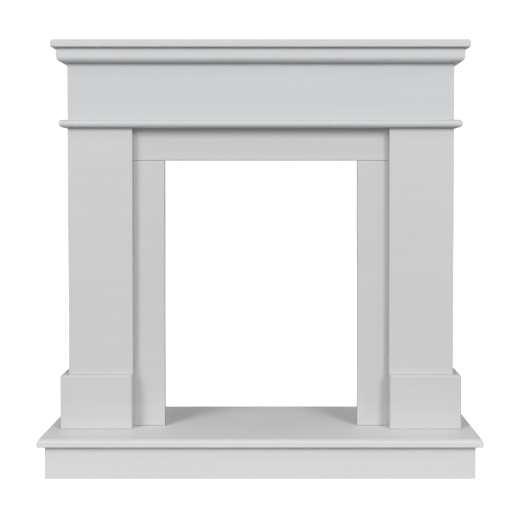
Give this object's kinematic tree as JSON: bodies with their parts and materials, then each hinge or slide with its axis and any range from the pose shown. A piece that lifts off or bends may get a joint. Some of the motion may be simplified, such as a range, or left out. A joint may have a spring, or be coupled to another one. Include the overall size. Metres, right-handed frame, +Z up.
{
  "type": "fireplace mantelpiece",
  "caption": "Painted fireplace surround with a moulded mantel shelf, plain frieze, square legs on plinth blocks and an inner frame round an open fire opening, on a raised hearth.",
  "frame": {"origin": "on the floor, in the middle of the part's footprint", "axes": "+Z up, +X to the right as seen from the front, +Y towards the wall behind, so the front looks along -Y"},
  "size_m": [0.99, 0.34, 0.9865],
  "materials": {
    "shelf": "satin pale grey paint on fibreboard",
    "mouldings": "satin pale grey paint on fibreboard",
    "frieze": "satin pale grey paint on fibreboard",
    "legs": "satin pale grey paint on fibreboard",
    "plinths": "satin pale grey paint on fibreboard",
    "inner_frame": "satin pale grey paint on fibreboard",
    "hearth": "satin pale grey paint on fibreboard",
    "primed_boards": "matt primer on fibreboard, on hidden faces"
  },
  "bodies": {
    "root": {"mantel_shelf": "shelf", "bed_mould_front": "mouldings", "bed_mould_return_left": "mouldings", "bed_mould_return_right": "mouldings", "frieze_front": "frieze", "frieze_side_left": "frieze", "frieze_side_right": "frieze", "astragal": "mouldings", "leg_left_front": "legs", "leg_left_outer_side": "legs", "leg_left_inner_side": "primed_boards", "leg_right_front": "legs", "leg_right_outer_side": "legs", "leg_right_inner_side": "primed_boards", "plinth_left_front": "plinths", "plinth_left_outer_side": "plinths", "plinth_right_front": "plinths", "plinth_right_outer_side": "plinths", "frame_header": "inner_frame", "frame_stile_left": "inner_frame", "frame_stile_right": "inner_frame", "hearth_slab": "hearth", "hearth_base_front": "hearth", "hearth_base_side_left": "hearth", "hearth_base_side_right": "hearth", "hearth_base_back": "primed_boards"}
  },
  "joints": []
}
